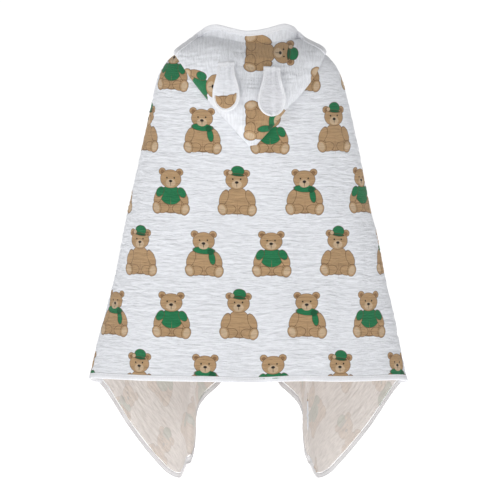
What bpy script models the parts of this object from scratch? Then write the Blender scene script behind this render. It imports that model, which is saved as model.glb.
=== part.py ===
"""Hooded baby towel, worn over a pair of shoulders, in metres with +Z up.

The wearer's back faces -Y.  The origin lies between the two points where the cloth
crosses the shoulders beside the neck.  One cut of cloth runs over the back, over both
shoulders and down the front; its two front flaps fold open about a straight line from
the front of the neck to the hem.  The hood hangs down the back as a pointed pocket and
tips up about a line through the neck, and its two ears flip up about their bases.
"""
import bpy
import numpy as np

# Driving dimensions
NECK_HALF = 0.066           # half the width of the neck opening
SHOULDER_HALF = 0.150       # where the straight sides would meet the neck's height
SHOULDER_ROUND = 0.020      # drop over which a shoulder rounds off
HEM_HALF = 0.278            # half the width across the back hem
BACK_HEIGHT = 0.595         # neck to back hem, as it hangs
CUT_HALF = 0.605            # half the length that the cloth was cut to
CUT_HEIGHT = 0.61           # the height that it was cut to
CORNER_RADIUS = 0.045       # rounding of the cloth's four corners
CLOTH = 0.0020              # thickness of the doubled, crinkled cloth
BINDING_WIDTH = 0.0075      # bias binding round every edge
BINDING_THICK = 0.0030
GAP = 0.0004                # clearance between neighbouring pieces
HEM_TRIM = 0.0055           # the hem binding stops this far short of a flap, which swings

# The back's depth, behind the line across the shoulders
NAPE_DEPTH = 0.030
UPPER_BACK_DEPTH = 0.068
HEM_DEPTH = 0.100
UPPER_BACK_DROP = 0.030     # drop over which the back reaches its upper depth
NAPE_DIP = 0.012            # the neck edge dips this far at the nape

# The front: where the neck's bound edge ends, and where the fold line meets the hem
FRONT = np.array([0.064, 0.030, -0.010])
FRONT_HEM = np.array([0.262, 0.014, -0.598])
FRONT_ON_CLOTH = 0.110      # distance of that front point from the cloth's middle
FOLD_ON_CLOTH = 0.330       # distance of the fold line's lower end from the middle
FLAP_START = 0.030          # the flap's cloth starts this far below the front point
EDGE_CLEAR = 0.0028         # clearance between a flap and its binding, which twist
FOLD_LEVEL = 0.600          # depth below the front point at which the folds are drawn
FLAP_SHARES = (0.0, 0.07, 0.15, 0.24, 0.34, 0.46, 0.60, 0.74, 0.87, 1.0)   # its rows
FLUTE_START = 0.380         # the folds are full at this distance from the front point
FLAP_FOLDS = [(0.165, 0.012), (0.120, 0.040), (0.082, 0.052), (0.061, 0.043),
              (0.051, 0.025), (0.044, 0.013), (0.039, 0.034), (0.037, 0.064),
              (0.026, 0.086), (0.004, 0.092), (-0.011, 0.078), (-0.015, 0.052),
              (-0.017, 0.024), (-0.023, 0.008), (-0.030, 0.022), (-0.032, 0.050),
              (-0.034, 0.078), (-0.039, 0.092), (-0.045, 0.078), (-0.047, 0.052),
              (-0.049, 0.024), (-0.053, 0.010), (-0.058, 0.024), (-0.060, 0.052)]

# The hood's outline as it hangs, (x, z): the face edge, and each side down to the tip
HOOD_FACE = [(-0.131, -0.027), (-0.098, -0.004), (-0.063, 0.015), (-0.032, 0.010),
             (-0.004, 0.006), (0.030, 0.011), (0.062, 0.019), (0.096, -0.004),
             (0.132, -0.024)]
HOOD_LEFT = [(-0.131, -0.027), (-0.115, -0.052), (-0.096, -0.080), (-0.072, -0.111),
             (-0.049, -0.137), (-0.024, -0.165), (-0.001, -0.191)]
HOOD_RIGHT = [(0.132, -0.024), (0.116, -0.059), (0.105, -0.077), (0.086, -0.102),
              (0.068, -0.120), (0.049, -0.144), (0.032, -0.165), (0.010, -0.189)]
HOOD_FULLNESS = 0.024       # how far the pocket stands open
HOOD_AXIS = np.array([0.0, 0.0, 0.003])
NAPE_SHRINK = 0.92          # the hidden layer is this share of the outer one
NAPE_LOWER = 0.006          # and its face edge lies this far below
HOOD_CLEAR = 0.0025         # clearance of the hidden layer to the back it lies on
LAYER_CLEAR = 0.0009        # clearance between the hood's layers

# The ears
EAR_LENGTH = 0.076
EAR_HALF_WIDTH = 0.0225
EAR_BASE_HALF = 0.0135
EAR_WIDEST = 0.66           # share of the length at which an ear is widest
EAR_CLOTH = 0.0011
EAR_LAYER_GAP = 0.0009      # between an ear's two layers
EAR_EDGE_CLEAR = 0.0011      # between an ear's layers and its binding
EAR_CLEAR = 0.0019          # between an ear and the hood it hangs on
EAR_BINDING = 0.0050
EAR_BAND = 0.0070           # height of the stitched band at an ear's base
EARS = {"left": (-0.038, -0.058), "right": (0.035, -0.066)}

COLOURS = {
    "cloth": ((0.90, 0.91, 0.92), 0.90),
    "binding": ((0.95, 0.95, 0.95), 0.80),
}


# ---- helpers -----------------------------------------------------------------------

def material(name):
    """Return the named fabric material."""
    if name in bpy.data.materials:
        return bpy.data.materials[name]
    colour, roughness = COLOURS[name.split("_")[-1]]
    mat = bpy.data.materials.new(name)
    mat.use_nodes = True
    shader = mat.node_tree.nodes["Principled BSDF"]
    shader.inputs["Base Color"].default_value = (*colour, 1.0)
    shader.inputs["Roughness"].default_value = roughness
    shader.inputs["Metallic"].default_value = 0.0
    return mat


def smooth_path(points, count):
    """Points at even spacing on a smooth curve through the given ones."""
    pts = np.array(points, dtype=float)
    ends = np.vstack([2 * pts[0] - pts[1], pts, 2 * pts[-1] - pts[-2]])
    fine = []
    for i in range(len(pts) - 1):
        a, b, c, d = ends[i:i + 4]
        for s in np.linspace(0.0, 1.0, 24, endpoint=False):
            fine.append(0.5 * (2 * b + (c - a) * s + (2 * a - 5 * b + 4 * c - d) * s ** 2
                               + (3 * b - a - 3 * c + d) * s ** 3))
    fine = np.vstack([fine, pts[-1]])
    length = np.r_[0.0, np.cumsum(np.linalg.norm(np.diff(fine, axis=0), axis=1))]
    wanted = np.linspace(0.0, length[-1], count)
    return np.column_stack([np.interp(wanted, length, fine[:, k])
                            for k in range(fine.shape[1])])


def normals(grid):
    """Unit normals of a grid of points, from its rows and columns."""
    across = np.gradient(grid, axis=1)
    down = np.gradient(grid, axis=0)
    normal = np.cross(across, down)
    return normal / np.linalg.norm(normal, axis=2, keepdims=True)


def sheet(name, grid, thickness, colour, origin=(0.0, 0.0, 0.0)):
    """Make a closed sheet of even thickness about a grid of points."""
    grid = np.asarray(grid)
    rows, cols = grid.shape[:2]
    half = normals(grid) * thickness / 2
    verts = np.vstack([(grid + half).reshape(-1, 3), (grid - half).reshape(-1, 3)])

    def at(side, i, j):
        return side * rows * cols + i * cols + j

    faces = []
    for i in range(rows - 1):
        for j in range(cols - 1):
            quad = [(i, j), (i, j + 1), (i + 1, j + 1), (i + 1, j)]
            faces.append([at(0, *corner) for corner in quad])
            faces.append([at(1, *corner) for corner in reversed(quad)])
    rim = [(0, j) for j in range(cols)] + [(i, cols - 1) for i in range(1, rows)]
    rim += [(rows - 1, j) for j in range(cols - 2, -1, -1)]
    rim += [(i, 0) for i in range(rows - 2, 0, -1)]
    for a, b in zip(rim, rim[1:] + rim[:1]):
        faces.append([at(0, *b), at(0, *a), at(1, *a), at(1, *b)])

    mesh = bpy.data.meshes.new(name)
    mesh.from_pydata((verts - np.asarray(origin)).tolist(), [], faces)
    mesh.shade_smooth()
    mesh.set_sharp_from_angle(angle=np.radians(50))
    mesh.materials.append(material(f"{name}_{colour}"))
    obj = bpy.data.objects.new(name, mesh)
    obj.location = origin
    bpy.context.collection.objects.link(obj)
    return obj


# ---- the cloth over the back and shoulders --------------------------------------------

def side_half(t):
    """Half the width of the cloth at a share t of the back's height."""
    straight = SHOULDER_HALF + (HEM_HALF - SHOULDER_HALF) * t
    return straight - (SHOULDER_HALF - NECK_HALF) * np.exp(-t * BACK_HEIGHT / SHOULDER_ROUND)


def back_depth(t):
    """Depth of the cloth at the middle of the back, at a share t of its height."""
    settled = 1.0 - np.exp(-t * BACK_HEIGHT / UPPER_BACK_DROP)
    return (NAPE_DEPTH + (UPPER_BACK_DEPTH - NAPE_DEPTH) * settled
            + (HEM_DEPTH - UPPER_BACK_DEPTH) * t)


def back_point(angle, t, side):
    """A point of the back: angle 0 is its middle, a quarter turn its side edge."""
    dip = NAPE_DIP * (1.0 - t) * np.cos(angle) ** 2
    return np.array([side * side_half(t) * np.sin(angle),
                     -back_depth(t) * np.cos(angle),
                     -BACK_HEIGHT * t - dip])


def strip_point(share, t, side):
    """A point of the strip that turns from the side edge to the front fold line."""
    start = back_point(np.pi / 2, t, 1)
    end = FRONT + (FRONT_HEM - FRONT) * t
    bend = np.array([start[0], end[1] + 0.1 * FRONT[1], (start[2] + end[2]) / 2])
    point = (1 - share) ** 2 * start + 2 * share * (1 - share) * bend + share ** 2 * end
    return point * (side, 1, 1)


def back_row(t, trim=GAP):
    """The points of one level, from the left front fold line round to the right one."""
    quarter = np.linspace(0.0, np.pi / 2, 11)
    strip = np.linspace(0.0, 1.0, 5)[1:]
    strip[-1] -= trim / np.linalg.norm(strip_point(1.0, t, 1) - strip_point(0.0, t, 1))
    left = [strip_point(s, t, -1) for s in strip[::-1]]
    left += [back_point(a, t, -1) for a in quarter[:0:-1]]
    right = [back_point(a, t, 1) for a in quarter]
    right += [strip_point(s, t, 1) for s in strip]
    return np.array(left + right)


def find_on_back(x, z):
    """Angle and share of the height of the back's point that lies at x and z."""
    t = max(-z / BACK_HEIGHT, 0.0)
    for _ in range(8):
        sine = np.clip(abs(x) / side_half(t), 0.0, 0.995)
        dip = NAPE_DIP * (1.0 - sine ** 2)
        t = np.clip((-z - dip) / (BACK_HEIGHT - dip), 0.004, 1.0)
    return np.arcsin(sine), t


def off_back(x, z, close, stand=0.0):
    """The point this close to the back's cloth at x and z, then standing level off it."""
    angle, t = find_on_back(x, z)
    side = 1 if x >= 0 else -1
    step = 0.002
    here = back_point(angle, t, side)
    along = back_point(angle + step, t, side) - here
    down = back_point(angle, t + step, side) - here
    normal = np.cross(along, down) * side
    normal /= -np.sign(normal[1]) * np.linalg.norm(normal)
    return np.array([x, here[1], z]) + normal * close + normal * (1, 1, 0) * stand


def make_back():
    """The back panel, its hem binding and the tape round the neck."""
    hem_share = (BINDING_WIDTH + GAP) / BACK_HEIGHT
    rows = [back_row(t) for t in np.linspace(0.0, 1.0, 15) ** 1.5 * (1 - hem_share)]
    sheet("back_panel", rows, CLOTH, "cloth")
    hem = [back_row(t, HEM_TRIM) for t in (1 - hem_share + GAP / BACK_HEIGHT, 1.0)]
    sheet("back_hem_binding", hem, BINDING_THICK, "binding")
    neck, below = back_row(0.0), back_row(0.004)
    upward = (neck - below) / np.linalg.norm(neck - below, axis=1)[:, None]
    tape = [neck + upward * reach for reach in (BINDING_WIDTH, GAP)]
    sheet("neck_tape", tape, CLOTH, "binding")


# ---- the front flaps --------------------------------------------------------------------

def fold_paths():
    """The flap's folds at their full depth, and the straight line under them."""
    first = (FRONT_HEM - FRONT)[:2] * FOLD_LEVEL / (FRONT - FRONT_HEM)[2]
    folds = smooth_path([first] + FLAP_FOLDS, 300)
    return folds, np.linspace(folds[0], folds[-1], 300)


def flap_point(cloth, side, paths):
    """Where a point of the cut cloth, (along, down) in metres, hangs in a flap."""
    along, down = cloth[0] - FRONT_ON_CLOTH, cloth[1]
    reach = np.hypot(along, down)
    first = np.arctan2(FOLD_ON_CLOTH - FRONT_ON_CLOTH, CUT_HEIGHT)
    turn = np.clip((np.arctan2(along, down) - first) / (np.pi / 2 - first), 0.0, 1.0)
    full = min(reach / FLUTE_START, 1.0)
    full = full * full * (3 - 2 * full)
    index = turn * (len(paths[0]) - 1)
    samples = np.arange(len(paths[0]))
    place = [np.interp(index, samples, full * paths[0][:, k] + (1 - full) * paths[1][:, k])
             for k in (0, 1)]
    ray = np.array([place[0], place[1], -FOLD_LEVEL])
    return (FRONT + reach * ray / np.linalg.norm(ray)) * (side, 1, 1)


def arc(centre, radius, start, count):
    """A quarter turn of points on the cloth."""
    angles = start + np.linspace(0.0, np.pi / 2, count)
    return [centre + radius * np.array([np.sin(a), np.cos(a)]) for a in angles]


def flap_edge(inset, top):
    """The flap's free edge on the cloth: hem, corner, side, corner and top edge."""
    hem, corner, side = 9, 6, 48
    radius = CORNER_RADIUS - inset
    lower_centre = np.array([CUT_HALF - CORNER_RADIUS, CUT_HEIGHT - CORNER_RADIUS])
    upper_centre = np.array([CUT_HALF - CORNER_RADIUS, CORNER_RADIUS])
    hem_start = np.array([FOLD_ON_CLOTH + GAP, CUT_HEIGHT - inset])
    lower = arc(lower_centre, radius, 0.0, corner)
    above = arc(upper_centre, radius, np.pi / 2, corner)
    edge = list(np.linspace(hem_start, lower[0], hem, endpoint=False)) + lower
    edge += list(np.linspace(lower[-1], above[0], side + 1, endpoint=False))[1:] + above
    if top:
        end = np.array([FRONT_ON_CLOTH + FLAP_START, inset])
        edge += [end + (above[-1] - end) * share for share in FLAP_SHARES[-2::-1]]
    return np.array(edge)


def make_flap(name, side):
    """One front flap and the binding round its free edge."""
    paths = fold_paths()
    edge = flap_edge(BINDING_WIDTH, False)
    lead = np.array([FOLD_ON_CLOTH - FRONT_ON_CLOTH, CUT_HEIGHT])
    lead = np.array([FRONT_ON_CLOTH + GAP, 0.0]) + FLAP_START * lead / np.linalg.norm(lead)
    inner = np.array([FRONT_ON_CLOTH + FLAP_START, BINDING_WIDTH])
    start = np.linspace(lead, inner, len(edge))
    rows = [[flap_point(a + (b - a) * s, side, paths) for a, b in zip(start, edge)]
            for s in FLAP_SHARES]
    binding = [[flap_point(p, side, paths) for p in flap_edge(inset, True)]
               for inset in (BINDING_WIDTH - EDGE_CLEAR, 0.0)]
    if side < 0:
        rows = [row[::-1] for row in rows]
        binding = [row[::-1] for row in binding]
    hinge = (FRONT + np.array([0.0, CLOTH / 2, 0.0])) * (side, 1, 1)
    sheet(f"{name}_front_flap", rows, CLOTH, "cloth", hinge)
    sheet(f"{name}_flap_binding", binding, BINDING_THICK, "binding", hinge)


# ---- the hood -------------------------------------------------------------------------

def hood_limits(z):
    """The hood's left and right outline at a height."""
    left, right = np.array(HOOD_LEFT)[::-1], np.array(HOOD_RIGHT)[::-1]
    return np.interp(z, left[:, 1], left[:, 0]), np.interp(z, right[:, 1], right[:, 0])


def hood_stand(x, z):
    """How far the pocket stands open at x and z."""
    left, right = hood_limits(z)
    middle, half = (left + right) / 2, (right - left) / 2
    across = max(0.0, 1.0 - ((x - middle) / half) ** 2)
    tip = HOOD_LEFT[-1][1]
    down = min(1.0, max(0.0, (z - tip) / (0.45 * -tip)))
    return HOOD_FULLNESS * across * down * (2 - down)


def off_hood(x, z, distance):
    """The point this far out from the hood's outer layer at x and z."""
    closed = 2 * CLOTH + HOOD_CLEAR + LAYER_CLEAR
    return off_back(x, z, closed + distance, hood_stand(x, z))


def hood_grid(shrink, lower, rows, cols, place):
    """A layer of the hood, from its face edge down to the tip."""
    left, right = smooth_path(HOOD_LEFT, rows), smooth_path(HOOD_RIGHT, rows)
    middle = (left + right) / 2
    left = middle + (left - middle) * shrink
    right = middle + (right - middle) * shrink
    shares = np.linspace(0.0, 1.0, cols)[:, None]
    face = smooth_path(HOOD_FACE, cols)
    rise = face - (face[0] + (face[-1] - face[0]) * shares)
    grid = []
    for i, (a, b) in enumerate(zip(left, right)):
        fade = (1 - i / (rows - 1)) ** 2
        flat = a + (b - a) * shares + rise * fade - np.array([0.0, lower * fade])
        grid.append([place(x, z) for x, z in flat])
    return np.array(grid)


def make_hood():
    """The hood's outer layer with its face binding, and the layer against the nape."""
    grid = hood_grid(1.0, 0.0, 19, 27, lambda x, z: off_hood(x, z, 0.0))
    top, second = grid[0], grid[1]
    drop = np.linalg.norm(second - top, axis=1)[:, None]
    inner = top + (second - top) * BINDING_WIDTH / 2 / drop
    below = top + (second - top) * (BINDING_WIDTH / 2 + LAYER_CLEAR) / drop
    sheet("hood_face_binding", [top, inner], BINDING_THICK, "binding", HOOD_AXIS)
    grid[0] = below
    sheet("hood_outer_panel", grid, CLOTH, "cloth", HOOD_AXIS)
    nape = hood_grid(NAPE_SHRINK, NAPE_LOWER, 12, 15,
                     lambda x, z: off_back(x, z, CLOTH + HOOD_CLEAR))
    sheet("hood_nape_panel", nape, CLOTH, "cloth", HOOD_AXIS)


# ---- the ears ---------------------------------------------------------------------------

def ear_half(share):
    """Half an ear's width at a share of its length from the base."""
    if share > EAR_WIDEST:
        past = (share - EAR_WIDEST) / (1 - EAR_WIDEST)
        return EAR_HALF_WIDTH * np.sqrt(max(0.0, 1 - past ** 2))
    rise = np.sin(np.pi / 2 * share / EAR_WIDEST) ** 2
    return EAR_BASE_HALF + (EAR_HALF_WIDTH - EAR_BASE_HALF) * rise


def ear_outline(inset, count):
    """One side of an ear's outline, from base to tip, set in by a margin: (x, down)."""
    shares = 1.0 - (1.0 - np.linspace(0.0, 1.0, count)) ** 1.7
    edge = np.array([(ear_half(s), s * EAR_LENGTH) for s in shares])
    along = np.gradient(edge, axis=0)
    along /= np.linalg.norm(along, axis=1)[:, None]
    along[0] = (0.0, 1.0)
    along[-1] = (-1.0, 0.0)
    inward = np.column_stack([-along[:, 1], along[:, 0]])
    return edge + inward * inset


def make_ear(name, base):
    """One ear: two layers, a binding round them and the band at the base."""
    x0, z0 = base
    backing = CLOTH / 2 + EAR_CLEAR + (BINDING_THICK - EAR_CLOTH - EAR_LAYER_GAP) / 2
    facing = backing + EAR_CLOTH + EAR_LAYER_GAP
    middle = (backing + facing) / 2

    def hang(points, distance):
        return [off_hood(x0 + x, z0 - down, distance) for x, down in points]

    hinge = off_hood(x0, z0 + EAR_BAND + GAP, middle + BINDING_THICK / 2)
    inner = ear_outline(EAR_BINDING + EAR_EDGE_CLEAR, 14)[:-1]
    for layer, distance in (("facing", facing), ("backing", backing)):
        rows = [hang([(half * s, down) for s in np.linspace(-1, 1, 7)], distance)
                for half, down in inner]
        sheet(f"{name}_ear_{layer}", rows, EAR_CLOTH, "cloth", hinge)

    rims = []
    for inset in (EAR_BINDING, 0.0):
        side = ear_outline(inset, 14)
        loop = [(-x, down) for x, down in side[:-1]] + [(0.0, side[-1][1])]
        loop += [(x, down) for x, down in side[-2::-1]]
        rims.append(hang(loop, middle))
    sheet(f"{name}_ear_binding", rims, BINDING_THICK, "binding", hinge)

    across = np.linspace(-EAR_BASE_HALF, EAR_BASE_HALF, 5)
    band = [hang([(x, down) for x in across], middle) for down in (-EAR_BAND - GAP, -GAP)]
    sheet(f"{name}_ear_band", band, BINDING_THICK, "binding", hinge)


for obj in list(bpy.data.objects):
    bpy.data.objects.remove(obj, do_unlink=True)
make_back()
make_flap("left", -1)
make_flap("right", 1)
make_hood()
for ear_name, ear_base in EARS.items():
    make_ear(ear_name, ear_base)
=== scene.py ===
"""Looks of the hooded baby towel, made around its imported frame, in metres with +Z up.

Each cloth is a fine closed sheet: the drape of the CAD panel it stands for, with soft
folds and crinkles added along its normal.  Its "cloth" UV map holds the place on the cut
cloth in metres, and the print and the weave are drawn there.
"""
import bpy
import numpy as np
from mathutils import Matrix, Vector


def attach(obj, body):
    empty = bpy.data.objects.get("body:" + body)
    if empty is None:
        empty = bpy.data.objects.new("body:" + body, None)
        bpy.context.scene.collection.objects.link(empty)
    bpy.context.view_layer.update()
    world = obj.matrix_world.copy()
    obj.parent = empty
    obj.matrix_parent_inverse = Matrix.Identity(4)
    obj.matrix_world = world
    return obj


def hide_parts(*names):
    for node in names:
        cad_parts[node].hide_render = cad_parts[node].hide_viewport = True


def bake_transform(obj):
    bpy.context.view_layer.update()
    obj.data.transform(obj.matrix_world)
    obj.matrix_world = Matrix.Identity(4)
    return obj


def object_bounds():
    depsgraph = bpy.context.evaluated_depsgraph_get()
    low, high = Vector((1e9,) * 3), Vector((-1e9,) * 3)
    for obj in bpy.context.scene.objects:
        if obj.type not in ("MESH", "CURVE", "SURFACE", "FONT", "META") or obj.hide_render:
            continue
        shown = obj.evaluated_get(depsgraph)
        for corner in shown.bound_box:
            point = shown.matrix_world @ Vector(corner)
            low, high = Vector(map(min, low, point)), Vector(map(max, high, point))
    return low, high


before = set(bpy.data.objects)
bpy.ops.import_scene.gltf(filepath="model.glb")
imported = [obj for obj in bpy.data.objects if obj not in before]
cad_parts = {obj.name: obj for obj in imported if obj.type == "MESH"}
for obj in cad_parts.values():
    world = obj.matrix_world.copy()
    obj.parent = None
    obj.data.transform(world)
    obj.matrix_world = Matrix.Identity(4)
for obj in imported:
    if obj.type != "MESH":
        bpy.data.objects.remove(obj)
CAD_LOW, CAD_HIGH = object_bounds()

# The drape, as in the CAD source
NECK_HALF = 0.066
SHOULDER_HALF = 0.150
SHOULDER_ROUND = 0.020
HEM_HALF = 0.278
BACK_HEIGHT = 0.595
CUT_HALF = 0.605
CUT_HEIGHT = 0.61
CORNER_RADIUS = 0.045
NAPE_DEPTH = 0.030
UPPER_BACK_DEPTH = 0.068
HEM_DEPTH = 0.100
UPPER_BACK_DROP = 0.030
NAPE_DIP = 0.012
FRONT = np.array([0.064, 0.030, -0.010])
FRONT_HEM = np.array([0.262, 0.014, -0.598])
FRONT_ON_CLOTH = 0.110
FOLD_ON_CLOTH = 0.330
FOLD_LEVEL = 0.600
FLUTE_START = 0.380
FLAP_FOLDS = [(0.165, 0.012), (0.120, 0.040), (0.082, 0.052), (0.061, 0.043),
              (0.051, 0.025), (0.044, 0.013), (0.039, 0.034), (0.037, 0.064),
              (0.026, 0.086), (0.004, 0.092), (-0.011, 0.078), (-0.015, 0.052),
              (-0.017, 0.024), (-0.023, 0.008), (-0.030, 0.022), (-0.032, 0.050),
              (-0.034, 0.078), (-0.039, 0.092), (-0.045, 0.078), (-0.047, 0.052),
              (-0.049, 0.024), (-0.053, 0.010), (-0.058, 0.024), (-0.060, 0.052)]
HOOD_FACE = [(-0.131, -0.027), (-0.098, -0.004), (-0.063, 0.015), (-0.032, 0.010),
             (-0.004, 0.006), (0.030, 0.011), (0.062, 0.019), (0.096, -0.004),
             (0.132, -0.024)]
HOOD_LEFT = [(-0.131, -0.027), (-0.115, -0.052), (-0.096, -0.080), (-0.072, -0.111),
             (-0.049, -0.137), (-0.024, -0.165), (-0.001, -0.191)]
HOOD_RIGHT = [(0.132, -0.024), (0.116, -0.059), (0.105, -0.077), (0.086, -0.102),
              (0.068, -0.120), (0.049, -0.144), (0.032, -0.165), (0.010, -0.189)]
HOOD_FULLNESS = 0.024
NAPE_SHRINK = 0.92
EAR_LENGTH = 0.076
EAR_HALF_WIDTH = 0.0225
EAR_BASE_HALF = 0.0135
EAR_WIDEST = 0.66
EARS = {"left": (-0.038, -0.058), "right": (0.035, -0.066)}

# What the looks add
CLOTH = 0.0015              # thickness of a panel
BINDING_WIDTH = 0.0085
BINDING_HALF = 0.0016       # half the thickness of a folded binding
EAR_BINDING = 0.0052
CRINKLE = 0.00115           # height of the crinkles
FLAT_TO_LINE = 0.035        # folds die away over this distance from the fold lines
HOOD_OFF_BACK = 0.0075      # the hood's outer layer lies this far off the back's cloth
NAPE_OFF_BACK = 0.0040      # and its hidden layer this far
EAR_OFF_HOOD = 0.0040
FLAP_TOP = 0.012            # each flap's cloth starts this far from the neck's end
FLAP_INSET = 0.0015         # and ends this far inside its binding's edge
EAR_TAPE_HALF = 0.0019
EAR_LAYERS = {"facing": 0.0007, "backing": -0.0007}     # heights of an ear's two layers

# The print's lattice on the cloth
PITCH_ACROSS = 0.117
PITCH_DOWN = 0.1105
FIRST_ROW = 0.0517
ROW_START = -0.026
ROW_SHIFT = 0.058
PRINT_DRIFT = 0.014         # the print drifts sideways by this much per metre


# ---- helpers: curves, noise and meshes ---------------------------------------------------

def smooth_path(points, count):
    """Points at even spacing on a smooth curve through the given ones."""
    pts = np.array(points, dtype=float)
    ends = np.vstack([2 * pts[0] - pts[1], pts, 2 * pts[-1] - pts[-2]])
    fine = []
    for i in range(len(pts) - 1):
        a, b, c, d = ends[i:i + 4]
        for s in np.linspace(0.0, 1.0, 24, endpoint=False):
            fine.append(0.5 * (2 * b + (c - a) * s + (2 * a - 5 * b + 4 * c - d) * s ** 2
                               + (3 * b - a - 3 * c + d) * s ** 3))
    fine = np.vstack([fine, pts[-1]])
    return even(fine, count)


def even(line, count):
    """The line again, with points at even spacing."""
    length = np.r_[0.0, np.cumsum(np.linalg.norm(np.diff(line, axis=0), axis=1))]
    wanted = np.linspace(0.0, length[-1], count)
    return np.column_stack([np.interp(wanted, length, line[:, k])
                            for k in range(line.shape[1])])


def smoothstep(x):
    """0 below 0, 1 above 1 and smooth in between."""
    x = np.clip(x, 0.0, 1.0)
    return x * x * (3 - 2 * x)


def noise(u, v, across, down, seed):
    """Smooth noise from -1 to 1 over the cloth, with lumps of the given size."""
    lattice = np.random.default_rng(seed).uniform(-1.0, 1.0, (97, 89))
    x, y = u / across + 500.0, v / down + 500.0
    i, j = np.floor(x).astype(int), np.floor(y).astype(int)
    fx, fy = smoothstep(x - i), smoothstep(y - j)

    def corner(di, dj):
        return lattice[(i + di) % 97, (j + dj) % 89]

    top = corner(0, 0) * (1 - fx) + corner(1, 0) * fx
    low = corner(0, 1) * (1 - fx) + corner(1, 1) * fx
    return top * (1 - fy) + low * fy


def crinkle(u, v):
    """Height of the gauze's fine crosswise crinkles."""
    wander = 0.004 * noise(u, v, 0.045, 0.060, 11)
    fine = (noise(u, v + wander, 0.020, 0.0036, 12)
            + 0.6 * noise(u, v + wander, 0.011, 0.0025, 13))
    lumps = noise(u, v, 0.016, 0.010, 14)
    patchy = 0.75 + 0.35 * noise(u, v, 0.060, 0.040, 15)
    return CRINKLE * (0.62 * fine + 0.5 * lumps) * patchy


def unit(vectors):
    """The vectors at length 1."""
    return vectors / np.maximum(np.linalg.norm(vectors, axis=-1, keepdims=True), 1e-12)


def outward(grid):
    """Unit normals of a grid of points, on the cloth's printed side."""
    return -unit(np.cross(np.gradient(grid, axis=1), np.gradient(grid, axis=0)))


def new_object(name, verts, faces, uvs, materials, indices):
    """Make an object; uvs maps a UV map's name to its values, one for each face corner."""
    mesh = bpy.data.meshes.new(name)
    mesh.from_pydata(verts.tolist(), [], faces)
    for mat in materials:
        mesh.materials.append(mat)
    for map_name, values in uvs.items():
        layer = mesh.uv_layers.new(name=map_name)
        layer.uv.foreach_set("vector", np.asarray(values, np.float32).ravel())
    mesh.polygons.foreach_set("material_index", indices)
    mesh.shade_smooth()
    mesh.update()
    obj = bpy.data.objects.new(name, mesh)
    bpy.context.collection.objects.link(obj)
    return obj


def cloth_sheet(name, grid, place, thickness, materials):
    """A closed sheet about a grid; place holds each point's (u, v) on the cut cloth."""
    rows, cols = grid.shape[:2]
    half = outward(grid) * thickness / 2
    verts = np.vstack([(grid + half).reshape(-1, 3), (grid - half).reshape(-1, 3)])
    index = np.arange(rows * cols).reshape(rows, cols)
    quads = np.stack([index[:-1, :-1], index[1:, :-1], index[1:, 1:], index[:-1, 1:]], -1)
    quads = quads.reshape(-1, 4)
    rim = np.r_[index[0, :-1], index[:-1, -1], index[-1, :0:-1], index[:0:-1, 0]]
    after = np.roll(rim, -1)
    size = rows * cols
    rims = np.column_stack([rim, after, after + size, rim + size])
    faces = np.vstack([quads, quads[:, ::-1] + size, rims])
    corner_verts = faces.ravel()
    cloth_uv = np.vstack([place.reshape(-1, 2)] * 2)[corner_verts]

    across, down = np.meshgrid(np.linspace(0, 1, cols), np.linspace(0, 1, rows))
    layer = np.column_stack([0.01 + 0.47 * across.ravel(), 0.05 + 0.94 * down.ravel()])
    layers = np.vstack([layer, layer + (0.51, 0.0)])[faces[:-len(rims)].ravel()]
    along = np.linspace(0.01, 0.99, len(rim) + 1)
    strip = np.stack([np.column_stack([along[:-1], np.full(len(rim), 0.01)]),
                      np.column_stack([along[1:], np.full(len(rim), 0.01)]),
                      np.column_stack([along[1:], np.full(len(rim), 0.03)]),
                      np.column_stack([along[:-1], np.full(len(rim), 0.03)])], 1)
    bake_uv = np.vstack([layers, strip.reshape(-1, 2)])
    indices = np.r_[np.zeros(len(quads), int), np.ones(len(quads), int),
                    np.zeros(len(rims), int)]
    return new_object(name, verts, faces.tolist(), {"cloth": cloth_uv, "OFBake": bake_uv},
                      materials, indices)


# Half of a folded binding's section: (share of the width from the fold, height)
TAPE_SECTION = [(-0.05, 0.0), (-0.02, 0.48), (0.07, 0.85), (0.22, 1.0), (0.45, 0.98),
                (0.62, 0.96), (0.70, 0.74), (0.78, 0.94), (0.93, 0.90), (1.0, 0.62),
                (1.0, 0.25)]


def tape(name, edge, inner, normal, half, mat):
    """A binding folded over an edge, with a stitched groove along each side."""
    count = len(edge)
    length = np.r_[0.0, np.cumsum(np.linalg.norm(np.diff(edge, axis=0), axis=1))]
    puff = 1.0 + 0.10 * noise(length, length * 0, 0.006, 1.0, 21)
    puff += 0.07 * noise(length, length * 0, 0.0025, 1.0, 22)
    section = TAPE_SECTION + [(a, -h) for a, h in TAPE_SECTION[:0:-1]]
    ring = len(section)
    rings = np.stack([edge + (inner - edge) * a + normal * (half * h * puff)[:, None]
                      for a, h in section], 1)
    verts = rings.reshape(-1, 3)
    faces, uv = [], []
    for i in range(count - 1):
        n = i + 1
        for k in range(ring):
            m = (k + 1) % ring
            faces.append([i * ring + k, i * ring + m, n * ring + m, n * ring + k])
            a, b = abs(section[k][0]), abs(section[m][0])
            uv += [(length[i], a), (length[i], b), (length[n], b), (length[n], a)]
    for start, order in ((0, -1), ((count - 1) * ring, 1)):
        faces.append([start + k for k in range(ring)][::order])
        uv += [(0.0, 0.0)] * ring
    return new_object(name, verts, faces, {"tape": uv}, [mat], np.zeros(len(faces), int))


# ---- materials ----------------------------------------------------------------------------

def linear(red, green, blue):
    """A colour given as 0 to 255 values, as the shader's linear RGBA."""
    c = np.array([red, green, blue]) / 255.0
    c = np.where(c <= 0.04045, c / 12.92, ((c + 0.055) / 1.055) ** 2.4)
    return (*c.tolist(), 1.0)


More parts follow.
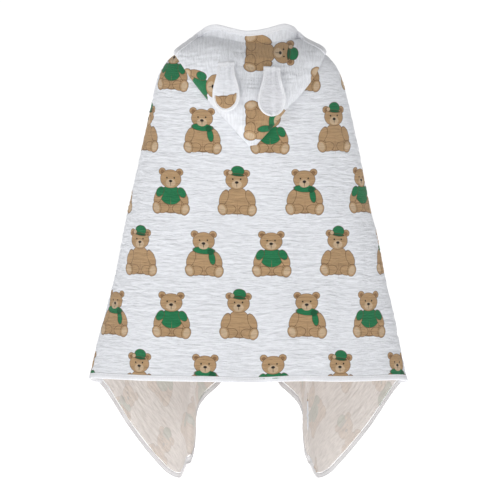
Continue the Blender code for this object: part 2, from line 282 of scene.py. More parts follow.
PAPER = linear(241, 243, 248)
# painted shade: the cloth's reverse is white, and this warm grey stands for the shade on the
# inside faces
INSIDE_SHADE = linear(230, 223, 218)
TAN = linear(190, 156, 116)
TAN_LIGHT = linear(208, 182, 150)
TAN_DEEP = linear(152, 116, 82)
LINE = linear(98, 70, 48)
GREEN = linear(32, 124, 78)
GREEN_DEEP = linear(20, 94, 58)
NOSE = linear(40, 30, 26)
BINDING = linear(238, 239, 243)


class Graph:
    """Short calls that add nodes to a tree and link them."""

    def __init__(self, tree):
        self.tree = tree

    def node(self, kind, inputs=(), **settings):
        made = self.tree.nodes.new(kind)
        for key, value in settings.items():
            setattr(made, key, value)
        for key, value in dict(inputs).items():
            self.feed(made.inputs[key], value)
        return made

    def feed(self, socket, value):
        if isinstance(value, bpy.types.NodeSocket):
            self.tree.links.new(value, socket)
        else:
            socket.default_value = value

    def math(self, operation, a, b=0.0, clamp=False):
        made = self.node("ShaderNodeMath", {0: a, 1: b}, operation=operation, use_clamp=clamp)
        return made.outputs[0]

    def mix(self, share, a, b, blend="MIX"):
        made = self.node("ShaderNodeMix", {0: share, 6: a, 7: b}, data_type="RGBA",
                         blend_type=blend)
        return made.outputs[2]

    def scaled(self, vector, scale):
        made = self.node("ShaderNodeVectorMath", {0: vector, 1: scale}, operation="MULTIPLY")
        return made.outputs[0]

    def noise(self, vector, scale, detail=3.0):
        made = self.node("ShaderNodeTexNoise", {"Vector": self.scaled(vector, scale),
                                                "Scale": 1.0, "Detail": detail})
        return made.outputs["Fac"]


# A sitting toy bear: (which kinds wear it, centre, radii, turn in degrees, colour, outlined),
# in millimetres from the middle of its cell, drawn from back to front
EVERY, SWEATER, CAP, SCARF = None, 0.0, 1.0, 2.0
BEAR = [
    (EVERY, (-15.0, 34.5), (6.4, 6.2), 0, TAN, True),
    (EVERY, (15.0, 34.0), (6.4, 6.2), 0, TAN, True),
    (EVERY, (-14.8, 33.8), (3.4, 3.3), 0, TAN_DEEP, False),
    (EVERY, (14.8, 33.3), (3.4, 3.3), 0, TAN_DEEP, False),
    (EVERY, (0.0, -21.0), (24.0, 14.0), 0, TAN, True),
    (EVERY, (0.0, -11.0), (19.5, 23.0), 0, TAN, True),
    (SWEATER, (0.0, -4.5), (18.6, 16.5), 0, GREEN, True),
    (EVERY, (-21.5, -7.0), (6.8, 14.5), -22, TAN, True),
    (EVERY, (21.5, -7.5), (6.8, 14.5), 22, TAN, True),
    (SWEATER, (-18.4, 0.5), (6.6, 9.6), -30, GREEN, True),
    (SWEATER, (18.4, 0.0), (6.6, 9.6), 30, GREEN, True),
    (EVERY, (-13.5, -27.0), (11.5, 8.2), 12, TAN, True),
    (EVERY, (13.5, -28.0), (11.5, 8.2), -12, TAN, True),
    (EVERY, (-24.0, -26.5), (7.8, 10.4), 18, TAN, True),
    (EVERY, (23.5, -28.0), (7.8, 10.4), -18, TAN, True),
    (EVERY, (-24.4, -26.5), (5.0, 7.4), 18, TAN_LIGHT, False),
    (EVERY, (23.9, -28.0), (5.0, 7.4), -18, TAN_LIGHT, False),
    (EVERY, (0.0, -24.5), (0.35, 9.0), 0, TAN_DEEP, False),
    (EVERY, (-0.4, 22.5), (18.2, 15.4), 0, TAN, True),
    (SCARF, (0.0, 7.2), (18.8, 6.6), -4, GREEN, True),
    (SCARF, (13.0, -5.5), (5.4, 12.0), 9, GREEN, True),
    (SCARF, (10.5, 5.0), (5.0, 5.4), 0, GREEN_DEEP, False),
    (EVERY, (-0.4, 15.8), (8.4, 6.8), 0, TAN_LIGHT, False),
    (EVERY, (-0.4, 18.8), (3.1, 2.2), 0, NOSE, False),
    (EVERY, (-0.4, 14.6), (0.4, 3.0), 0, NOSE, False),
    (EVERY, (-6.8, 24.2), (1.35, 1.5), 0, NOSE, False),
    (EVERY, (6.0, 24.2), (1.35, 1.5), 0, NOSE, False),
    (CAP, (1.5, 38.0), (11.0, 9.0), -6, GREEN, True),
    (CAP, (1.0, 31.6), (11.6, 2.6), -6, GREEN_DEEP, True),
    (CAP, (-10.5, 35.5), (3.8, 3.8), 0, TAN_LIGHT, True),
]
BEAR_SIZE = 1.07            # how much larger than listed the bears are drawn
OUTLINE = 0.60              # width of the drawn outline, in millimetres
SOFT_INK = 0.35             # how far the ink's edges blur


def print_group():
    """A node group that draws the bears over a cloth colour, from the place on the cloth."""
    tree = bpy.data.node_groups.new("bear_print", "ShaderNodeTree")
    face = tree.interface
    face.new_socket("Place", in_out="INPUT", socket_type="NodeSocketVector")
    face.new_socket("Cloth", in_out="INPUT", socket_type="NodeSocketColor")
    face.new_socket("Color", in_out="OUTPUT", socket_type="NodeSocketColor")
    g = Graph(tree)
    given = g.node("NodeGroupInput")
    parts = g.node("ShaderNodeSeparateXYZ", {0: given.outputs["Place"]})
    u, v = parts.outputs[0], parts.outputs[1]

    level = g.math("DIVIDE", g.math("SUBTRACT", v, FIRST_ROW), PITCH_DOWN)
    row = g.math("FLOOR", g.math("ADD", level, 0.5))
    odd = g.math("FLOORED_MODULO", row, 2.0)
    up = g.math("MULTIPLY", g.math("SUBTRACT", row, level), PITCH_DOWN * 1000 / BEAR_SIZE)
    start = g.math("ADD", g.math("MULTIPLY", odd, ROW_SHIFT), ROW_START)
    start = g.math("ADD", start, g.math("MULTIPLY", v, PRINT_DRIFT))
    step = g.math("DIVIDE", g.math("SUBTRACT", u, start), PITCH_ACROSS)
    column = g.math("FLOOR", g.math("ADD", step, 0.5))
    right = g.math("MULTIPLY", g.math("SUBTRACT", step, column),
                   PITCH_ACROSS * 1000 / BEAR_SIZE)
    kind = g.math("FLOORED_MODULO", g.math("SUBTRACT", g.math("ADD", column, 1.0), odd), 3.0)
    kinds = {k: g.math("COMPARE", kind, k) for k in (SWEATER, CAP, SCARF)}
    place = g.node("ShaderNodeCombineXYZ", {0: right, 1: up}).outputs[0]
    wobble = g.noise(given.outputs["Place"], (260.0, 260.0, 1.0), 2.0)
    fur = g.noise(given.outputs["Place"], (1300.0, 900.0, 1.0), 3.0)
    rough_edge = g.math("MULTIPLY", g.math("SUBTRACT", wobble, 0.5), 1.4)

    def mask(length, limit, soft, wanted):
        made = g.node("ShaderNodeMapRange", {0: length, 1: limit + soft, 2: limit - soft})
        if wanted is EVERY:
            return made.outputs[0]
        return g.math("MULTIPLY", made.outputs[0], kinds[wanted])

    colour = given.outputs["Cloth"]
    for wanted, centre, radii, turn, fill, outlined in BEAR:
        spot = g.node("ShaderNodeMapping", {"Vector": place, "Location": (*centre, 0.0),
                                            "Rotation": (0.0, 0.0, np.radians(turn)),
                                            "Scale": (*radii, 1.0)}, vector_type="TEXTURE")
        length = g.node("ShaderNodeVectorMath", {0: spot.outputs[0]}, operation="LENGTH")
        small = min(radii)
        wavy = g.math("ADD", length.outputs["Value"],
                      g.math("MULTIPLY", rough_edge, 0.5 / small))
        fill_limit = 1.0
        if outlined:
            colour = g.mix(mask(wavy, 1.0, SOFT_INK / small, wanted), colour, LINE)
            fill_limit = 1.0 - OUTLINE / small
        colour = g.mix(mask(wavy, fill_limit, SOFT_INK / small, wanted), colour, fill)
    worn = g.node("ShaderNodeMapRange", {0: fur, 1: 0.3, 2: 0.7, 3: 0.86, 4: 1.06})
    brushed = g.node("ShaderNodeVectorMath", {0: colour, 1: worn.outputs[0]},
                     operation="MULTIPLY")
    paper = g.node("ShaderNodeSeparateColor", {0: colour}).outputs[0]
    inked = g.math("LESS_THAN", paper, 0.62)
    g.node("NodeGroupOutput", {"Color": g.mix(inked, colour, brushed.outputs[0])})
    return tree


def principled(name, roughness, sheen):
    """A new material with a Principled shader, and its graph."""
    mat = bpy.data.materials.new(name)
    mat.use_nodes = True
    shader = mat.node_tree.nodes["Principled BSDF"]
    shader.inputs["Roughness"].default_value = roughness
    shader.inputs["Sheen Weight"].default_value = sheen
    shader.inputs["Sheen Roughness"].default_value = 0.6
    shader.inputs["Specular IOR Level"].default_value = 0.25
    return mat, shader, Graph(mat.node_tree)


def gauze_bump(g, shader, place, strength):
    """Crosswise crinkles and the open weave, as bump; returns the crinkles' height."""
    crease = g.noise(place, (70.0, 330.0, 1.0), 4.0)
    lumps = g.noise(place, (120.0, 180.0, 1.0), 2.0)
    weft = g.math("SINE", g.math("MULTIPLY", g.node(
        "ShaderNodeSeparateXYZ", {0: place}).outputs[1], 5200.0))
    warp = g.math("SINE", g.math("MULTIPLY", g.node(
        "ShaderNodeSeparateXYZ", {0: place}).outputs[0], 4600.0))
    weave = g.math("MULTIPLY", g.math("MULTIPLY", weft, warp), 0.07)
    height = g.math("ADD", g.math("ADD", crease, g.math("MULTIPLY", lumps, 0.4)), weave)
    bump = g.node("ShaderNodeBump", {"Strength": strength, "Distance": 0.0022,
                                     "Height": height})
    g.feed(shader.inputs["Normal"], bump.outputs[0])
    return crease


def cloth_material(name, base, ink, printed, strength=0.85):
    """Double gauze: base colour, share of the print that shows, crinkles with painted shade in
    their hollows, and broad random patches of darker tone.
    """
    mat, shader, g = principled(name, 0.92, 0.15)
    place = g.node("ShaderNodeUVMap", uv_map="cloth").outputs[0]
    crease = gauze_bump(g, shader, place, strength)
    # broad random patches, up to 3.5% darker
    broad_noise = g.noise(place, (9.0, 7.0, 1.0), 2.0)
    # painted shade: the cloth is darker, down to 87%, in the crinkles' low places
    crinkle_shade = g.node("ShaderNodeMapRange", {0: crease, 1: 0.32, 2: 0.60, 3: 0.87, 4: 1.0})
    broad_tone = g.node("ShaderNodeMapRange", {0: broad_noise, 1: 0.3, 2: 0.7, 3: 0.965, 4: 1.0})
    colour = base[:3]
    if ink > 0:
        group = g.node("ShaderNodeGroup", node_tree=printed)
        g.feed(group.inputs["Place"], place)
        group.inputs["Cloth"].default_value = PAPER
        drawn = group.outputs[0]
        shown = g.mix(ink, PAPER, drawn)
        colour = g.mix(1.0, shown, tuple(b / p for b, p in zip(base, PAPER)), "MULTIPLY")
    shade = g.math("MULTIPLY", crinkle_shade.outputs[0], broad_tone.outputs[0])
    shaded = g.node("ShaderNodeVectorMath", {0: colour, 1: shade}, operation="MULTIPLY")
    g.feed(shader.inputs["Base Color"], shaded.outputs[0])
    return mat


def binding_material(name, base):
    """Plain cotton bias binding: a fine weave, dashes of thread along its stitch line, and painted
    shade in its puckers and between the dashes.
    """
    mat, shader, g = principled(name, 0.78, 0.08)
    place = g.node("ShaderNodeUVMap", uv_map="tape").outputs[0]
    parts = g.node("ShaderNodeSeparateXYZ", {0: place})
    along, across = parts.outputs[0], parts.outputs[1]
    line = g.math("COMPARE", across, 0.70)
    line.node.inputs[2].default_value = 0.045
    dash = g.math("GREATER_THAN", g.math("SINE", g.math("MULTIPLY", along, 2200.0)), -0.25)
    thread = g.math("MULTIPLY", line, dash)
    weave = g.math("MULTIPLY", g.math("SINE", g.math("MULTIPLY", along, 5200.0)),
                   g.math("SINE", g.math("MULTIPLY", across, 60.0)))
    puckers = g.noise(place, (420.0, 2.2, 1.0), 3.0)
    height = g.math("ADD", g.math("ADD", puckers, g.math("MULTIPLY", weave, 0.05)),
                    g.math("MULTIPLY", thread, 0.5))
    bump = g.node("ShaderNodeBump", {"Strength": 0.5, "Distance": 0.0009, "Height": height})
    g.feed(shader.inputs["Normal"], bump.outputs[0])
    # painted shade: the binding is darker, down to 93%, where its puckers sink
    crinkle_shade = g.node("ShaderNodeMapRange", {0: puckers, 1: 0.3, 2: 0.65, 3: 0.93, 4: 1.0})
    plain = g.node("ShaderNodeVectorMath", {0: base[:3], 1: crinkle_shade.outputs[0]},
                   operation="MULTIPLY")
    # painted shade: the stitch groove between the thread's dashes is drawn grey
    groove_shade = g.math("MULTIPLY", line, g.math("SUBTRACT", 1.0, dash))
    colour = g.mix(g.math("MULTIPLY", groove_shade, 0.5), plain.outputs[0], linear(196, 196, 202))
    g.feed(shader.inputs["Base Color"], colour)
    return mat


# ---- the back -----------------------------------------------------------------------------

def side_half(t):
    """Half the width of the cloth at a share t of the back's height."""
    straight = SHOULDER_HALF + (HEM_HALF - SHOULDER_HALF) * t
    return straight - (SHOULDER_HALF - NECK_HALF) * np.exp(-t * BACK_HEIGHT / SHOULDER_ROUND)


def back_depth(t):
    """Depth of the cloth at the middle of the back, at a share t of its height."""
    settled = 1.0 - np.exp(-t * BACK_HEIGHT / UPPER_BACK_DROP)
    return (NAPE_DEPTH + (UPPER_BACK_DEPTH - NAPE_DEPTH) * settled
            + (HEM_DEPTH - UPPER_BACK_DEPTH) * t)


def back_point(angle, t, side):
    """Points of the back: angle 0 is its middle, a quarter turn its side edge."""
    dip = NAPE_DIP * (1.0 - t) * np.cos(angle) ** 2
    return np.stack(np.broadcast_arrays(side * side_half(t) * np.sin(angle),
                                        -back_depth(t) * np.cos(angle),
                                        -BACK_HEIGHT * t - dip), -1)


def half_row(t, count):
    """Evenly spaced points of one level, from the middle of the back to the fold line."""
    round_back = back_point(np.linspace(0.0, np.pi / 2, 90), t, 1)
    start = round_back[-1]
    end = FRONT + (FRONT_HEM - FRONT) * t
    bend = np.array([start[0], end[1] + 0.1 * FRONT[1], (start[2] + end[2]) / 2])
    s = np.linspace(0.0, 1.0, 24)[1:, None]
    strip = (1 - s) ** 2 * start + 2 * s * (1 - s) * bend + s ** 2 * end
    return even(np.vstack([round_back, strip]), count)


def soft_folds(u, v):
    """Height of the soft folds that hang down the cloth and grow towards the hem."""
    grow = smoothstep((v - 0.05) / 0.50)
    wander = 0.018 * noise(u, v, 0.16, 0.30, 31)
    waves = (noise(u + wander, v, 0.060, 0.55, 32)
             + 0.5 * noise(u + wander, v, 0.030, 0.40, 33))
    drag = noise(u, v, 0.10, 0.07, 34) * smoothstep(v / 0.05)
    return 0.0052 * waves * grow + 0.0016 * drag


def spare_reach(v):
    """How much further round the cloth the fold line lies than a straight line would."""
    levels = np.linspace(0.0, 1.0, 40)
    rows = [half_row(t, 200) for t in levels]
    reach = [199 * np.linalg.norm(row[1] - row[0]) for row in rows]
    straight = FRONT_ON_CLOTH + (FOLD_ON_CLOTH - FRONT_ON_CLOTH) * levels
    return np.interp(v, levels * CUT_HEIGHT, reach - straight)


def back_cloth():
    """The back's mid surface, its places on the cut cloth, and its normals."""
    rows, half = 376, 112
    t = np.linspace(0.0, 1.0, rows)
    right = np.array([half_row(level, half) for level in t])
    reach = (half - 1) * np.linalg.norm(right[:, 1] - right[:, 0], axis=1)
    grid = np.concatenate([right[:, :0:-1] * (-1, 1, 1), right], 1)
    share = np.linspace(-1.0, 1.0, 2 * half - 1)
    u = reach[:, None] * share
    v = np.repeat((CUT_HEIGHT * t)[:, None], len(share), 1)
    to_line = reach[:, None] * (1 - np.abs(share))
    calm = smoothstep(to_line / FLAT_TO_LINE)
    height = soft_folds(u, v) * calm + crinkle(u, v)
    grid = grid + outward(grid) * height[..., None]
    sway = smoothstep((v - 0.40) / 0.20) * calm
    grid[..., 2] += 0.0022 * noise(u, v, 0.085, 0.5, 35) * sway
    corner = smoothstep((np.abs(share) - 0.80) / 0.2) * smoothstep((v - 0.5) / 0.1)
    grid[..., 2] -= 0.007 * corner
    return grid, np.stack([u, v], -1)


def make_back(printed, shaded_inside, binding):
    """The back panel, its hem binding and the neck tape."""
    grid, place = back_cloth()
    normal = outward(grid)
    panel = cloth_sheet("back_cloth", grid[:-1], place[:-1], CLOTH, [printed, shaded_inside])
    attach(panel, "back")
    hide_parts("back_panel")

    depth = 6
    hem = tape("back_hem_tape", grid[-1], grid[-1 - depth], normal[-3], BINDING_HALF, binding)
    upward = unit(grid[0] - grid[3])
    neck = tape("neck_seam_tape", grid[0] + upward * 0.0055, grid[2], normal[3],
                BINDING_HALF * 0.85, binding)
    for piece, node in ((hem, "back_hem_binding"), (neck, "neck_tape")):
        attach(piece, "back")
        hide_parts(node)


# ---- the front flaps ------------------------------------------------------------------------

FOLD_START = (FRONT_HEM - FRONT)[:2] * FOLD_LEVEL / (FRONT - FRONT_HEM)[2]
FOLDS = smooth_path([FOLD_START] + FLAP_FOLDS, 600)
UNDER_FOLDS = np.linspace(FOLDS[0], FOLDS[-1], 600)
FIRST_ANGLE = np.arctan2(FOLD_ON_CLOTH - FRONT_ON_CLOTH, CUT_HEIGHT)
SWAY = {-1: 0.009, 1: 0.014}    # how far each flap's tip swings in towards the middle
FOLD_LINE_EASE = (np.linalg.norm(FRONT_HEM - FRONT)
                  / np.hypot(FOLD_ON_CLOTH - FRONT_ON_CLOTH, CUT_HEIGHT))


def flap_base(place, side):
    """Where points of the cut cloth hang in a flap, before its crinkles."""
    along, down = place[..., 0] - FRONT_ON_CLOTH, place[..., 1]
    reach = np.hypot(along, down)
    turn = np.clip((np.arctan2(along, down) - FIRST_ANGLE) / (np.pi / 2 - FIRST_ANGLE), 0, 1)
    full = smoothstep(reach / FLUTE_START)
    index = turn * (len(FOLDS) - 1)
    steps = np.arange(len(FOLDS))
    ray = [full * np.interp(index, steps, FOLDS[:, k])
           + (1 - full) * np.interp(index, steps, UNDER_FOLDS[:, k]) for k in (0, 1)]
    ray = unit(np.stack([*ray, np.full(ray[0].shape, -FOLD_LEVEL)], -1))
    ease = FOLD_LINE_EASE + (1 - FOLD_LINE_EASE) * smoothstep(turn / 0.22)
    points = FRONT + ray * (reach * ease)[..., None]
    inwards = SWAY[side] * smoothstep((-0.48 - points[..., 2]) / 0.29) * smoothstep(turn / 0.25)
    points[..., 0] -= inwards
    return points * (side, 1, 1)


def flap_surface(place, side):
    """A flap's mid surface at places on the cut cloth, and its normals there."""
    step = 0.0015
    base = flap_base(place, side)
    across = flap_base(place + (step, 0.0), side) - flap_base(place - (step, 0.0), side)
    down = flap_base(place + (0.0, step), side) - flap_base(place - (0.0, step), side)
    normal = unit(np.cross(across, down)) * -side
    v = place[..., 1]
    u = (place[..., 0] + spare_reach(v)) * side
    from_line = ((place[..., 0] - FRONT_ON_CLOTH) * np.cos(FIRST_ANGLE)
                 - v * np.sin(FIRST_ANGLE))
    calm = smoothstep(from_line / FLAT_TO_LINE)
    roll = 0.0035 * noise(u, v, 0.05, 0.08, 41) * calm * smoothstep((v - 0.1) / 0.2)
    return base + normal * (crinkle(u, v) + roll)[..., None], normal


def flap_edge(inset):
    """The flap's free edge on the cloth: hem, corner, side, corner and top edge."""
    radius = CORNER_RADIUS - inset
    quarter = np.linspace(0.0, np.pi / 2, 24)
    lower = np.array([CUT_HALF - CORNER_RADIUS, CUT_HEIGHT - CORNER_RADIUS])
    upper = np.array([CUT_HALF - CORNER_RADIUS, CORNER_RADIUS])
    corner = radius * np.column_stack([np.sin(quarter), np.cos(quarter)])
    below = lower + corner
    above = upper + radius * np.column_stack([np.cos(quarter), -np.sin(quarter)])
    start = np.array([[FOLD_ON_CLOTH, CUT_HEIGHT - inset]])
    end = np.array([[FRONT_ON_CLOTH + FLAP_TOP, inset]])
    return np.vstack([start, below, above, end])


def make_flap(name, side, printed, shaded_inside, binding):
    """One front flap and the binding round its free edge."""
    rows, cols = 330, 290
    outline = flap_edge(FLAP_INSET)
    edge = even(outline[:-1], cols)
    fold_way = unit(np.array([FOLD_ON_CLOTH - FRONT_ON_CLOTH, CUT_HEIGHT]))
    lead = np.array([FRONT_ON_CLOTH, 0.0]) + FLAP_TOP * fold_way
    inner = np.array([FRONT_ON_CLOTH + FLAP_TOP, FLAP_INSET])
    start = lead + (inner - lead) * np.linspace(0.0, 1.0, cols)[:, None]
    share = np.linspace(0.0, 1.0, rows)[:, None, None]
    place = start + (edge - start) * share
    if side < 0:
        place = place[:, ::-1]
    grid, _ = flap_surface(place, side)
    printed_place = place + np.stack([spare_reach(place[..., 1]),
                                      np.zeros(place.shape[:2])], -1)
    cloth = cloth_sheet(f"{name}_flap_cloth", grid, printed_place * (side, 1), CLOTH,
                        [printed, shaded_inside])

    line = even(flap_edge(0.0), 560)
    inward = np.column_stack([-np.gradient(line[:, 1]), np.gradient(line[:, 0])])
    below = line + unit(inward) * BINDING_WIDTH
    rim, normal = flap_surface(line, side)
    under, _ = flap_surface(below, side)
    trim = tape(f"{name}_flap_tape", rim, under, normal, BINDING_HALF, binding)
    if side < 0:
        trim.data.flip_normals()

    into = np.array([-(FRONT - FRONT_HEM)[2], 0.0, -(FRONT_HEM - FRONT)[0]])
    into = unit(into) * (-side, 1, 1)
    for piece, node, slot in ((cloth, "front_flap", "cloth"),
                              (trim, "flap_binding", "binding")):
        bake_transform(piece)
        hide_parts(f"{name}_{node}")


# ---- the hood ---------------------------------------------------------------------------------

def off_back(x, z, close, stand):
    """The points this close to the back's cloth at x and z, standing level off it."""
    t = np.maximum(-z / BACK_HEIGHT, 0.0)
    for _ in range(8):
        sine = np.clip(np.abs(x) / side_half(t), 0.0, 0.995)
        dip = NAPE_DIP * (1.0 - sine ** 2)
        t = np.clip((-z - dip) / (BACK_HEIGHT - dip), 0.004, 1.0)
    angle = np.arcsin(sine)
    side = np.where(x >= 0, 1.0, -1.0)
    here = back_point(angle, t, side)
    along = back_point(angle + 0.002, t, side) - here
    down = back_point(angle, t + 0.002, side) - here
    normal = unit(np.cross(along, down) * side[..., None])
    normal *= -np.sign(normal[..., 1:2])
    level = normal * (1, 1, 0) * stand[..., None]
    return np.stack([x, here[..., 1], z], -1) + normal * close[..., None] + level


def hood_stand(x, z):
    """How far the pocket stands open at x and z."""
    left, right = np.array(HOOD_LEFT)[::-1], np.array(HOOD_RIGHT)[::-1]
    low, high = np.interp(z, left[:, 1], left[:, 0]), np.interp(z, right[:, 1], right[:, 0])
    across = np.clip(1.0 - ((x - (low + high) / 2) / ((high - low) / 2)) ** 2, 0.0, 1.0)
    tip = HOOD_LEFT[-1][1]
    down = np.clip((z - tip) / (0.45 * -tip), 0.0, 1.0)
    return HOOD_FULLNESS * across * down * (2 - down)


def off_hood(x, z, distance):
    """The points this far out from the hood's outer layer at x and z."""
    return off_back(x, z, HOOD_OFF_BACK + distance, hood_stand(x, z))


def hood_plan(shrink, rows, cols):
    """The hood's layout, (x, z), and the share across it, from -1 to 1."""
    left, right = smooth_path(HOOD_LEFT, rows), smooth_path(HOOD_RIGHT, rows)
    middle = (left + right) / 2
    left, right = middle + (left - middle) * shrink, middle + (right - middle) * shrink
    share = np.sin(np.linspace(-1.0, 1.0, cols) * np.pi / 2 * 0.999)
    s = (share[:, None] + 1) / 2
    fine = smooth_path(HOOD_FACE, 400)
    face = np.column_stack([np.interp(s[:, 0], np.linspace(0, 1, 400), fine[:, k])
                            for k in (0, 1)])
    rise = face - (face[0] + (face[-1] - face[0]) * s)
    fade = (1 - np.linspace(0.0, 1.0, rows))[:, None, None] ** 2
    plan = left[:, None] + (right - left)[:, None] * s + rise * fade
    return plan, np.repeat(share[None], rows, 0)


def hood_folds(x, z):
    """Height of the hood's own soft folds: creases that run from the ears to the tip."""
    tip_x, tip_z = 0.004, -0.191
    turn = np.arctan2(x - tip_x, z - tip_z + 0.02)
    reach = np.hypot(x - tip_x, z - tip_z)
    rays = noise(turn, reach, 0.30, 0.20, 51) * smoothstep(reach / 0.06)
    slump = noise(x, z, 0.055, 0.020, 52)
    return 0.0060 * rays + 0.0022 * slump


def hood_place(x, z):
    """The hood's place on the cut cloth; its print is turned a quarter turn."""
    return np.stack([ROW_START - z - 0.030, FIRST_ROW - x + 0.030], -1)


def make_hood(printed, shaded_inside, binding):
    """The hood's outer layer with its face binding, and the layer against the nape."""
    plan, share = hood_plan(1.0, 170, 190)
    x, z = plan[..., 0], plan[..., 1]
    place = hood_place(x, z)
    closing = 1 - np.sqrt(np.clip(1 - np.abs(share) ** 14, 0.0, 1.0))
    held = 0.3 + 0.7 * smoothstep(np.linspace(0.0, 1.0, len(x))[:, None] / 0.20)
    height = (hood_folds(x, z) * (1 - share ** 4) * held
              + crinkle(place[..., 1], place[..., 0]))
    grid = off_hood(x, z, height - closing * (HOOD_OFF_BACK - 0.0022))
    outer = cloth_sheet("hood_outer_cloth", grid[1:], place[1:], CLOTH, [printed, shaded_inside])
    normal = outward(grid)
    raised = grid + normal * 0.0008
    face = tape("hood_face_tape", raised[0, 6:-6], raised[6, 6:-6], normal[4, 6:-6],
                BINDING_HALF * 0.8, binding)

    plan, share = hood_plan(NAPE_SHRINK, 120, 120)
    x, z = plan[..., 0], plan[..., 1] - 0.006 * (1 - np.linspace(0, 1, 120)[:, None]) ** 2
    place = hood_place(x, z)
    under = off_back(x, z, NAPE_OFF_BACK + 0.4 * crinkle(place[..., 1], place[..., 0]),
                     np.zeros(x.shape))
    nape = cloth_sheet("hood_nape_cloth", under[:, ::-1], place[:, ::-1], CLOTH * 0.8,
                       [printed, shaded_inside])

    for piece, node, slot in ((outer, "hood_outer_panel", "cloth"),
                              (face, "hood_face_binding", "binding")):
        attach(piece, "hood")
        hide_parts(node)
    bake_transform(nape)
    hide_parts("hood_nape_panel")


# ---- the ears ---------------------------------------------------------------------------------

def ear_half(share):
    """Half an ear's width at shares of its length from the base."""
    past = np.clip((share - EAR_WIDEST) / (1 - EAR_WIDEST), 0.0, 1.0)
    rise = np.sin(np.pi / 2 * np.clip(share / EAR_WIDEST, 0.0, 1.0)) ** 2
    return np.where(share > EAR_WIDEST, EAR_HALF_WIDTH * np.sqrt(np.clip(1 - past ** 2, 0, 1)),
                    EAR_BASE_HALF + (EAR_HALF_WIDTH - EAR_BASE_HALF) * rise)


def ear_rise(across, share, seed):
    """How far an ear stands out: cupped sides, a soft pleat and a lifted tip."""
    cup = 0.0030 * across ** 2 * smoothstep(share / 0.3)
    pleat = 0.0022 * np.exp(-((across - 0.25) / 0.20) ** 2) * smoothstep(1.4 - share)
    ripple = 0.0010 * noise(across * 0.02, share * 0.07, 0.008, 0.03, seed)
    return cup + pleat + ripple + 0.0050 * share ** 2


def make_ear(name, base, seed, front, rear, binding):
    """One ear: two layers, a binding round them and the band at the base."""
    x0, z0 = base

    def hang(across, share, inset, distance):
        half = np.maximum(ear_half(share) - inset, 0.0005)
        out = EAR_OFF_HOOD + distance + ear_rise(across, share, seed)
        return off_hood(x0 + across * half, z0 - share * EAR_LENGTH, out)

    rows, cols = 72, 44
    across, share = np.meshgrid(np.linspace(-1, 1, cols), np.linspace(0.0, 0.965, rows))
    pieces = []
    for layer, faces in (("facing", [front, front]), ("backing", [rear, rear])):
        place = np.stack([across * ear_half(share) + ROW_START + 0.006,
                          FIRST_ROW + 0.036 - (share - 0.66) * EAR_LENGTH], -1)
        height = EAR_LAYERS[layer] + 0.3 * crinkle(place[..., 0], place[..., 1])
        grid = hang(across, share, 0.0022, height)
        piece = cloth_sheet(f"{name}_ear_{layer}_cloth", grid, place, CLOTH * 0.6, faces)
        slot = "ear_cloth" if layer == "facing" else "cloth"
        pieces.append((piece, f"{name}_ear_{layer}", slot))

    turn = np.linspace(0.0, np.pi, 150)
    down = np.sin(turn) ** 0.75
    sides = np.where(turn < np.pi / 2, -1.0, 1.0)
    outline = np.column_stack([sides * ear_half(down), down * EAR_LENGTH])
    outline = even(outline, 170)
    inward = unit(np.column_stack([np.gradient(outline[:, 1]), -np.gradient(outline[:, 0])]))
    inner = outline + inward * EAR_BINDING

    def drape(points):
        half = np.maximum(ear_half(np.clip(points[:, 1] / EAR_LENGTH, 0, 1)), 0.004)
        sway = ear_rise(np.clip(points[:, 0] / half, -1, 1), points[:, 1] / EAR_LENGTH, seed)
        return off_hood(x0 + points[:, 0], z0 - points[:, 1], EAR_OFF_HOOD + sway)

    rim, under = drape(outline), drape(inner)
    normal = unit(np.cross(np.gradient(rim, axis=0), under - rim))
    normal *= -np.sign(normal[:, 1:2])
    trim = tape(f"{name}_ear_tape", rim, under, normal, EAR_TAPE_HALF, binding)
    pieces.append((trim, f"{name}_ear_binding", "binding"))

    line = np.linspace(-1.02, 1.02, 40)
    top = drape(np.column_stack([line * EAR_BASE_HALF, np.full(40, -0.0072)]))
    low = drape(np.column_stack([line * EAR_BASE_HALF, np.full(40, 0.0005)]))
    face = np.repeat([[0.0, -1.0, 0.0]], 40, 0)
    band = tape(f"{name}_ear_seam_band", top, low, face, EAR_TAPE_HALF, binding)
    pieces.append((band, f"{name}_ear_band", "binding"))
    for piece, node, slot in pieces:
        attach(piece, f"{name}_ear")
        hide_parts(node)


# ---- camera, light and floor --------------------------------------------------------------------

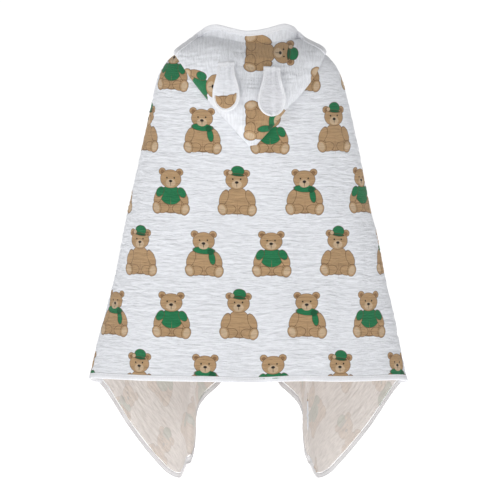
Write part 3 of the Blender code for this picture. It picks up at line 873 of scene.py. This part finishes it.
def make_stage():
    """The floor, the lights, the world and the camera."""
    bpy.ops.mesh.primitive_circle_add(vertices=96, radius=40.0, fill_type="NGON",
                                      location=(0.0, 0.0, CAD_LOW[2] - 0.05))
    floor = bpy.context.object
    floor.name = "floor"
    mat, shader, _ = principled("pale_floor", 0.9, 0.0)
    shader.inputs["Base Color"].default_value = (0.94, 0.94, 0.94, 1.0)
    shader.inputs["Emission Color"].default_value = (1.0, 1.0, 1.0, 1.0)
    shader.inputs["Emission Strength"].default_value = 0.90
    floor.data.materials.append(mat)

    middle = (CAD_LOW + CAD_HIGH) / 2
    for name, place, size, watts in (("key", (-1.9, -2.5, 0.9), 0.9, 21.0),
                                     ("fill", (2.4, -2.2, 0.3), 2.0, 4.0),
                                     ("low", (0.2, -1.8, -1.2), 1.0, 19.0),
                                     ("front", (0.6, 2.6, 1.2), 2.2, 30.0)):
        light = bpy.data.lights.new(name, "AREA")
        light.size = size
        light.energy = watts
        lamp = bpy.data.objects.new(name, light)
        lamp.location = place
        lamp.rotation_euler = (middle - lamp.location).to_track_quat("-Z", "Y").to_euler()
        bpy.context.collection.objects.link(lamp)

    world = bpy.data.worlds.new("studio")
    world.use_nodes = True
    bpy.context.scene.world = world
    g = Graph(world.node_tree)
    shine = world.node_tree.nodes["Background"]
    shine.inputs["Color"].default_value = (1.0, 1.0, 1.0, 1.0)
    seen = g.node("ShaderNodeLightPath").outputs["Is Camera Ray"]
    g.feed(shine.inputs["Strength"], g.math("ADD", g.math("MULTIPLY", seen, 0.74), 0.31))

    camera = bpy.data.cameras.new("camera")
    camera.lens = 150.0
    camera.sensor_width = 36.0
    seen_width, middle_height = 0.88, -0.3696
    view = bpy.data.objects.new("camera", camera)
    view.location = (0.0, -seen_width * camera.lens / camera.sensor_width, middle_height)
    view.rotation_euler = (np.pi / 2, 0.0, 0.0)
    bpy.context.collection.objects.link(view)
    bpy.context.scene.camera = view
    bpy.context.scene.view_settings.view_transform = "Standard"


make_stage()
drawing = print_group()
outside_cloth = cloth_material("printed_gauze", PAPER, 1.0, drawing)
# the inside faces: a warm grey base that paints their shade, with a faint print showing through
# the gauze
shaded_inside_cloth = cloth_material("inside_gauze_painted_shade", INSIDE_SHADE, 0.20, drawing, 0.5)
plain_cloth = cloth_material("plain_gauze", linear(233, 234, 239), 0.0, drawing)
cotton = binding_material("cotton_binding", BINDING)
# a darker copy of the binding: painted shade on the flaps' bindings, which hang in shade below the
# back
shaded_cotton = binding_material("flap_binding_cotton_painted_shade", linear(222, 220, 221))
make_back(outside_cloth, shaded_inside_cloth, cotton)
make_flap("left", -1, outside_cloth, shaded_inside_cloth, shaded_cotton)
make_flap("right", 1, outside_cloth, shaded_inside_cloth, shaded_cotton)
make_hood(outside_cloth, shaded_inside_cloth, cotton)
make_ear("left", EARS["left"], 61, outside_cloth, plain_cloth, cotton)
make_ear("right", EARS["right"], 62, plain_cloth, plain_cloth, cotton)
